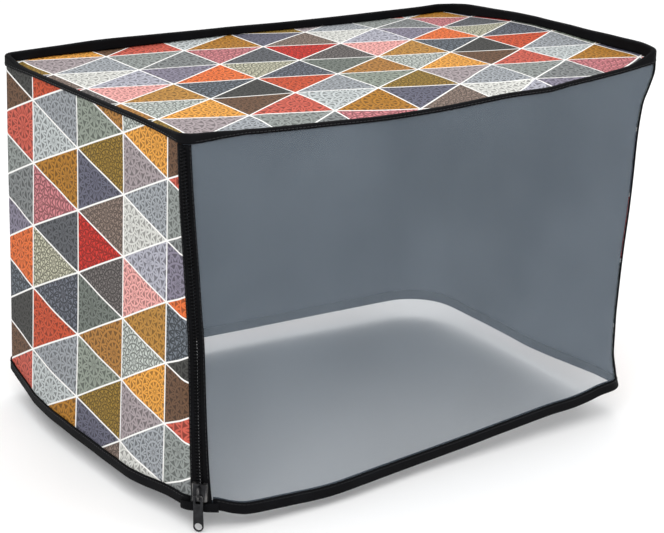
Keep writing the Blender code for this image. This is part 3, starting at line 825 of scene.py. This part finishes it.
# The print's strip lines on the top: x halfway back, strip, how far its ends bow to the right, y of its
# third row, and the share by which its rows widen towards the back
TOP_LINES = np.array([
    (-0.2800, 1, 0.0000, -0.0340, 0.00),
    (-0.2125, 2, 0.0000, -0.0274, 0.00),
    (-0.1455, 3, 0.0000, -0.0204, 0.00),
    (-0.0785, 4, 0.0015, -0.0092, 0.02),
    (-0.0137, 5, 0.0040, -0.0005, 0.02),
    (0.0513, 6, 0.0045, 0.0065, 0.02),
    (0.1138, 7, 0.0045, 0.0170, 0.02),
    (0.1667, 8, 0.0085, 0.0162, 0.02),
    (0.2205, 9, 0.0000, 0.0135, 0.00),
    (0.2720, 10, 0.0000, 0.0120, 0.00),
])
TOP_ROW_PITCH = 0.059
BOW_ENDS = 0.130  # distance from the middle at which the lines reach their bow


def top_print(x, y):
    """The print's column and row at points of the top."""
    at, strips, bows, third_rows, widening = TOP_LINES.T
    x = x - np.interp(x, at, bows) * (y / BOW_ENDS) ** 2
    rows = (np.interp(x, at, third_rows) - y) / TOP_ROW_PITCH
    return np.stack([np.interp(x, at, strips), 3 + rows / (1 - np.interp(x, at, widening) * rows)], -1)


# Cloth pieces

def cloth_top(station):
    return rise(station) + stand(station) - SEAM_CROWN - TAPE / 2 - FOLD_CLEAR


def cloth_foot(station):
    return hem(station) + OUTER_TAPE + TAPE / 2 + FOLD_CLEAR


def metres_uv(station, z):
    along, z = np.broadcast_arrays(arc_length(station), z)
    return np.stack([along, z], -1)


def wall_sheet(name, start, end, low, high, out, thickness, finishes, rows=90, printed=False, swell=None):
    """A sheet on the wall from station start to end, between the heights low(station) and high(station)."""
    spread = stations(start, end)[:, None]
    share = np.linspace(0, 1, rows + 1)
    foot, top = low(spread), high(spread)
    z = foot + (top - foot) * share
    if swell is not None:
        out = out + swell(spread, share)
    middle = place(spread, z, out)
    print_uv = wall_print(np.broadcast_to(spread, z.shape), z) if printed else None
    return shell(name, middle, thickness, finishes, metres_uv(spread, z), print_uv)


# Soft folds: place along, height, place up, width, tall share, slant
FILM_FOLDS = (
    (0.12, 0.0010, 0.60, 0.020, 0.40, 0.02),
    (0.30, -0.0012, 0.50, 0.035, 0.35, -0.05),
    (0.52, 0.0014, 0.70, 0.040, 0.30, 0.06),
    (0.74, -0.0012, 0.45, 0.030, 0.45, 0.02),
    (0.90, 0.0012, 0.55, 0.018, 0.45, -0.02),
)
SKIRT_FOLDS = (
    (0.06, 0.0003, 0.70, 0.030, 0.30, 0.02),
    (0.16, -0.0003, 0.40, 0.030, 0.35, -0.01),
    (0.45, 0.0006, 0.60, 0.060, 0.35, 0.02),
    (0.80, -0.0008, 0.50, 0.050, 0.35, 0.03),
)
SEWN_EASE = 0.020  # distance from a sheet's sewn sides within which its folds die out
SEWN_SHARE = 0.07  # the same at its top and foot, as a share of its height


def bulge(span, low_edge, high_edge, table):
    """The folds of a sheet this long between two stations."""
    def swell(station, share):
        along = (station - low_edge) / (high_edge - low_edge)
        held = np.clip(along * span / SEWN_EASE, 0, 1) * np.clip((1 - along) * span / SEWN_EASE, 0, 1)
        held = held * np.clip(share / SEWN_SHARE, 0, 1) * np.clip((1 - share) / SEWN_SHARE, 0, 1)
        total = 0.0
        for centre, height, level, wide, tall, slant in table:
            x = (along - centre - slant * (share - level)) * span / wide
            y = (share - level) / tall
            total = total + height * np.exp(-(x**2 + y**2))
        return total * held * held * (3 - 2 * held)
    return swell


# Shares of the way from the top's edge to its middle at which it has rows of points
TO_MIDDLE = np.concatenate([[0.02, 0.04], np.linspace(0.07, 0.97, 31)])[:, None]
TOP_SETTLES = 0.5  # share of the way to its middle at which the top lies flat


def top_cloth(finishes):
    """The printed top: flat over the lid, rising to its seam, with its edge turned up in the binding."""
    spread = stations(0.0, 4.0)[:, None]
    surface = CLOTH / 2
    foot = rise(spread) + surface + SEAM_BEND
    climb = np.linspace(1, 0, 5)
    turned = place(spread, foot + climb * (cloth_top(spread) - foot), TURN_UP)
    angle = np.linspace(0, math.pi / 2, 6)[1:]
    curved = place(spread, foot - SEAM_BEND * np.sin(angle), TURN_UP - SEAM_BEND * (1 - np.cos(angle)))
    level = curved[:, -1:, :2] * (1 - TO_MIDDLE)
    settled = np.clip(1 - TO_MIDDLE / TOP_SETTLES, 0, 1)[:, 0]
    height = surface + rise(spread) * settled**1.5
    flat = np.concatenate([level, height[..., None]], -1)
    rings = np.concatenate([turned, curved, flat], 1)
    print_uv = top_print(rings[..., 0], rings[..., 1])
    return shell("top_cloth", rings, CLOTH, finishes, rings[..., :2], print_uv, closed=True, capped=True)


LEG = np.linspace(0, 1, 7)
ARC = np.linspace(0, math.pi, 15)[1:-1]


def folded_tape(name, spread, inner, outer, ends, crown, finish, closed=False):
    """A tape folded over an edge, its crown below 0 under one; ends holds inner end, centre, outer end."""
    spread = spread[:, None]
    inner_end, centre, outer_end = (end(spread) for end in ends)
    middle, radius = (inner + outer) / 2, (outer - inner) / 2
    inner_leg = inner_end + (centre - inner_end) * LEG
    outer_leg = centre + (outer_end - centre) * LEG
    z = np.concatenate([inner_leg, centre + crown * np.sin(ARC), outer_leg], 1)
    out = np.concatenate([np.full(len(LEG), inner), middle - radius * np.cos(ARC), np.full(len(LEG), outer)])
    surface = place(spread, z, out)
    steps = np.diff(surface, axis=1, prepend=surface[:, :1])
    across = np.cumsum(np.linalg.norm(steps, axis=-1), 1)
    along = np.broadcast_to(arc_length(spread), across.shape)
    order = slice(None, None, -1 if crown > 0 else 1)
    uv = np.stack([along, across], -1)[:, order]
    return shell(name, surface[:, order], TAPE, [finish], uv, closed=closed)


def tab_centre(station):
    return -HEIGHT - TAB_LOW + TAB_FOLD + TAPE / 2 + 0 * station


def above_hem(station):
    return hem(station) + HEM_DEPTH + GAP


def outer_top(station):
    return rise(station) - 1.5 * GAP


def zip_foot(station):
    return tab_centre(station) + GAP


# Zip

def zip_teeth(finish):
    """The closed coil: a flattened loop of nylon for each tooth, from left and right by turns."""
    base = OUTER_FACE + 2 * GAP
    top = float(outer_top(0.0)) - COIL_SHORT
    foot = float(hem(0.0)) + SLIDER_ABOVE_HEM - SLIDER_LENGTH / 2
    side = np.where(np.arange(int((top - foot) / TOOTH_PITCH)) % 2, 1, -1)[:, None]
    middle_z = foot + (np.arange(len(side))[:, None] + 0.5) * TOOTH_PITCH
    bend = np.linspace(-LOOP_TURN, LOOP_TURN, 13)
    across = side * (LOOP_START + (COIL_WIDTH / 2 - WIRE_RADIUS - LOOP_CLEAR) * np.cos(bend))
    height = (COIL_HEIGHT / 2 - WIRE_RADIUS) * np.sin(bend * 0.8) / math.sin(LOOP_TURN * 0.8)
    lift = np.linspace(-LOOP_LIFT, LOOP_LIFT, len(bend)) * TOOTH_PITCH * side
    spread = zip_spread(-middle_z / HEIGHT)
    paths = place(by_zip(-across / spread), middle_z + lift, base + COIL_HEIGHT / 2 + height)
    other = unit(np.cross(np.gradient(paths, axis=1), np.array([0.0, 0.0, 1.0])))
    third = np.cross(unit(np.gradient(paths, axis=1)), other)
    return tubes("zip_teeth", paths, other, third, np.full(len(bend), WIRE_RADIUS), finish, 8)


# Stitching

ON_STITCH = np.array([0.0, 0.12, 0.5, 0.88, 1.0])  # shares of a stitch's length at its points
STITCH_RISE = np.array([-0.5, 0.25, 0.55, 0.25, -0.5]) * THREAD_RADIUS
STITCH_GIRTH = np.array([0.45, 0.95, 1.0, 0.95, 0.45]) * THREAD_RADIUS


def stitch_row(station, z, out):
    """The paths of a row of short raised stitches, with the ways across and out of the cloth."""
    line = place(station, z, out)
    outward = place(station, z, out + 0.001) - line
    at = np.concatenate([[0], np.cumsum(np.linalg.norm(np.diff(line, axis=0), axis=1))])
    count = max(int(at[-1] / STITCH_PITCH), 1)
    starts = (np.arange(count)[:, None] + STITCH_START) / count * at[-1]
    ends = (np.arange(count)[:, None] + STITCH_END) / count * at[-1]
    where = starts + (ends - starts) * ON_STITCH
    path = np.stack([np.interp(where, at, line[:, k]) for k in range(3)], -1)
    normal = unit(np.stack([np.interp(where, at, outward[:, k]) for k in range(3)], -1))
    path = path + normal * STITCH_RISE[:, None]
    across = unit(np.cross(unit(path[:, -1:] - path[:, :1]), normal))
    return path, across, normal


def stitching(name, rows, finish):
    """Rows of stitches; each row holds stations, heights and distances out."""
    paths, across, normals = (np.concatenate(parts) for parts in zip(*(stitch_row(*row) for row in rows)))
    return tubes(name, paths, across, normals, STITCH_GIRTH, finish, 6)


def straight_row(station, top, foot):
    """A row of stitches straight down the wall."""
    z = np.linspace(top, foot, 90)
    return np.full_like(z, station), z, np.full_like(z, OUTER_FACE)


# Studio

FLOOR_SIZE = 16.0
FLOOR_TONE = 0.92
SKY_STRENGTH = 0.85
# Lamps: name, place, size, power in watts
LAMPS = (
    ("key", (-1.4, -1.8, 2.2), 2.2, 52.0),
    ("fill", (2.0, -1.6, 1.2), 2.0, 18.0),
    ("overhead", (0.2, 0.6, 2.6), 2.4, 20.0),
)
LAMPS_AIM = Vector((0, 0, -0.1))
CAMERA_PLACE = (-0.93893, -1.43668, 0.39294)
CAMERA_YAW = math.radians(-33.208)
CAMERA_PITCH = math.radians(18.356)  # downward
CAMERA_ROLL = math.radians(0.349)
SENSOR_WIDTH = 36.0  # millimetres, as is the lens
LENS = 113.66


def studio():
    """A pale floor, soft light and the camera at the photograph's angle."""
    scene = bpy.context.scene
    bpy.ops.mesh.primitive_plane_add(size=FLOOR_SIZE, location=(0, 0, FLOOR_Z))
    floor = bpy.context.object
    floor.name = "floor"
    ground = Finish("floor_paper", 0.9, Specular_IOR_Level=0.1)
    ground.shader.inputs["Base Color"].default_value = (FLOOR_TONE, FLOOR_TONE, FLOOR_TONE, 1.0)
    floor.data.materials.append(ground.material)

    world = bpy.data.worlds.new("studio")
    scene.world = world
    world.use_nodes = True
    background = world.node_tree.nodes["Background"]
    background.inputs["Color"].default_value = (1.0, 1.0, 1.0, 1.0)
    background.inputs["Strength"].default_value = SKY_STRENGTH

    for name, position, size, power in LAMPS:
        data = bpy.data.lights.new(name, "AREA")
        data.size = size
        data.energy = power
        lamp = add_object(name, data)
        lamp.location = position
        lamp.rotation_euler = (LAMPS_AIM - Vector(position)).to_track_quat("-Z", "Y").to_euler()

    right = Vector((math.cos(CAMERA_YAW), math.sin(CAMERA_YAW), 0))
    level = Vector((-math.sin(CAMERA_YAW), math.cos(CAMERA_YAW), 0))
    ahead = level * math.cos(CAMERA_PITCH) - Vector((0, 0, math.sin(CAMERA_PITCH)))
    up = right.cross(ahead)
    rolled_right = right * math.cos(CAMERA_ROLL) + up * math.sin(CAMERA_ROLL)
    rolled_up = up * math.cos(CAMERA_ROLL) - right * math.sin(CAMERA_ROLL)
    turn = Matrix((rolled_right, rolled_up, -ahead)).transposed()
    lens = bpy.data.cameras.new("photo_camera")
    lens.sensor_fit = "HORIZONTAL"
    lens.sensor_width = SENSOR_WIDTH
    lens.lens = LENS
    lens.clip_end = 50.0
    camera = add_object("photo_camera", lens)
    camera.matrix_world = Matrix.Translation(CAMERA_PLACE) @ turn.to_4x4()
    scene.camera = camera
    scene.view_settings.view_transform = "Standard"


# Making

printed, reverse = printed_cloth(), coated_reverse()
film, tape, thread = clear_film(), black_tape(), thread_finish()
metal, nylon = black_metal(), coil_finish()

top = top_cloth([printed, reverse])
skirt_ends = float(by_zip(-ZIP_UNDERLAP)), FRONT_RIGHT - BUTT / DEPTH
skirt = wall_sheet("skirt_cloth", *skirt_ends, cloth_foot, cloth_top, 0.0, CLOTH, [printed, reverse],
                   printed=True, swell=bulge(WIDTH + 2 * DEPTH, *skirt_ends, SKIRT_FOLDS))
window_ends = FRONT_RIGHT + BUTT / WIDTH, SIDES + float(by_zip(ZIP_UNDERLAP))
window = wall_sheet("window_film", *window_ends, cloth_foot, cloth_top, 0.0, CLOTH, [film],
                    swell=bulge(WIDTH, *window_ends, FILM_FOLDS))

seam_ends = (
    lambda s: rise(s) + CLOTH + 2 * GAP,
    lambda s: rise(s) + stand(s) - SEAM_CROWN - TAPE / 2,
    rise,
)
seam_tape = folded_tape("top_seam_tape", stations(0.0, 4.0), SEAM_INNER_TAPE, OUTER_TAPE, seam_ends,
                        SEAM_CROWN, tape, closed=True)
hem_ends = (
    lambda s: hem(s) + HEM_DEPTH,
    lambda s: hem(s) + OUTER_TAPE + TAPE / 2,
    lambda s: hem(s) + HEM_DEPTH,
)
around_hem = stations(float(by_zip(-PAST_BAND)), SIDES + float(by_zip(PAST_BAND)))
hem_tape = folded_tape("hem_tape", around_hem, -OUTER_TAPE, OUTER_TAPE, hem_ends, -OUTER_TAPE, tape)
tab_ends = (
    lambda s: tab_centre(s) - TAB_FOLD - TAPE / 2 + TAB_DEPTH,
    tab_centre,
    lambda s: tab_centre(s) - TAB_FOLD - TAPE / 2 + TAB_DEPTH,
)
along_tab = stations(float(by_zip(TAB_FRONT)), float(by_zip(-TAB_BACK)), 0.001)
tab_tape = folded_tape("hem_tab_tape", along_tab, -TAB_FOLD, TAB_FOLD, tab_ends, -TAB_FOLD, tape)
side_ends = FRONT_RIGHT - SIDE_TAPE_BACK / DEPTH, FRONT_RIGHT + SIDE_TAPE_FRONT / WIDTH
side_tape = wall_sheet("side_seam_tape", *side_ends, above_hem, outer_top, OUTER_TAPE, TAPE, [tape])

zip_left_ends = float(by_zip(-ZIP_HALF_GAP)), float(by_zip(-BAND_HALF))
zip_right_ends = SIDES + float(by_zip(BAND_HALF)), SIDES + float(by_zip(ZIP_HALF_GAP))
zip_left = wall_sheet("zip_tape_left", *zip_left_ends, zip_foot, outer_top, OUTER_TAPE, TAPE, [tape])
zip_right = wall_sheet("zip_tape_right", *zip_right_ends, zip_foot, outer_top, OUTER_TAPE, TAPE, [tape])
teeth = zip_teeth(nylon)

seam_line = stations(SEAM_STITCH_START, SIDES - SEAM_STITCH_START)
hem_row_ends = -PAST_BAND - HEM_STITCH_BACK, PAST_BAND + HEM_STITCH_FRONT
hem_line = stations(float(by_zip(hem_row_ends[0])), SIDES + float(by_zip(hem_row_ends[1])))
zip_row = BAND_HALF - ZIP_STITCH_INSET
stitches = stitching("stitching", [
    (seam_line, rise(seam_line) + STITCH_INSET, OUTER_FACE),
    (hem_line, hem(hem_line) + HEM_DEPTH - STITCH_INSET, OUTER_FACE),
    straight_row(float(by_zip(-zip_row)), *ZIP_STITCHES),
    straight_row(SIDES + float(by_zip(zip_row)), *ZIP_STITCHES),
    straight_row(FRONT_RIGHT - SIDE_STITCH_BACK / DEPTH, *SIDE_STITCHES),
], thread)

# Each piece with its slot and the solids it stands for
DRESSED = (
    (top, "printed_cloth", ["top_panel"]),
    (skirt, "printed_cloth", ["skirt"]),
    (window, "clear_film", ["window"]),
    (seam_tape, "black_tape", ["top_binding"]),
    (hem_tape, "black_tape", ["hem_binding"]),
    (tab_tape, "black_tape", ["hem_tab"]),
    (side_tape, "black_tape", ["side_binding"]),
    (zip_left, "black_tape", ["zip_tape_skirt"]),
    (zip_right, "black_tape", ["zip_tape_window"]),
    (teeth, "black_tape", ["zip_coil"]),
    (stitches, "black_tape", []),
)
for piece, slot, nodes in DRESSED:
    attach(piece, "root")
    if nodes:
        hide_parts(*nodes)
for node in ("zip_slider", "zip_pull"):
    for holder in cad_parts[node].material_slots:
        holder.material = metal

studio()
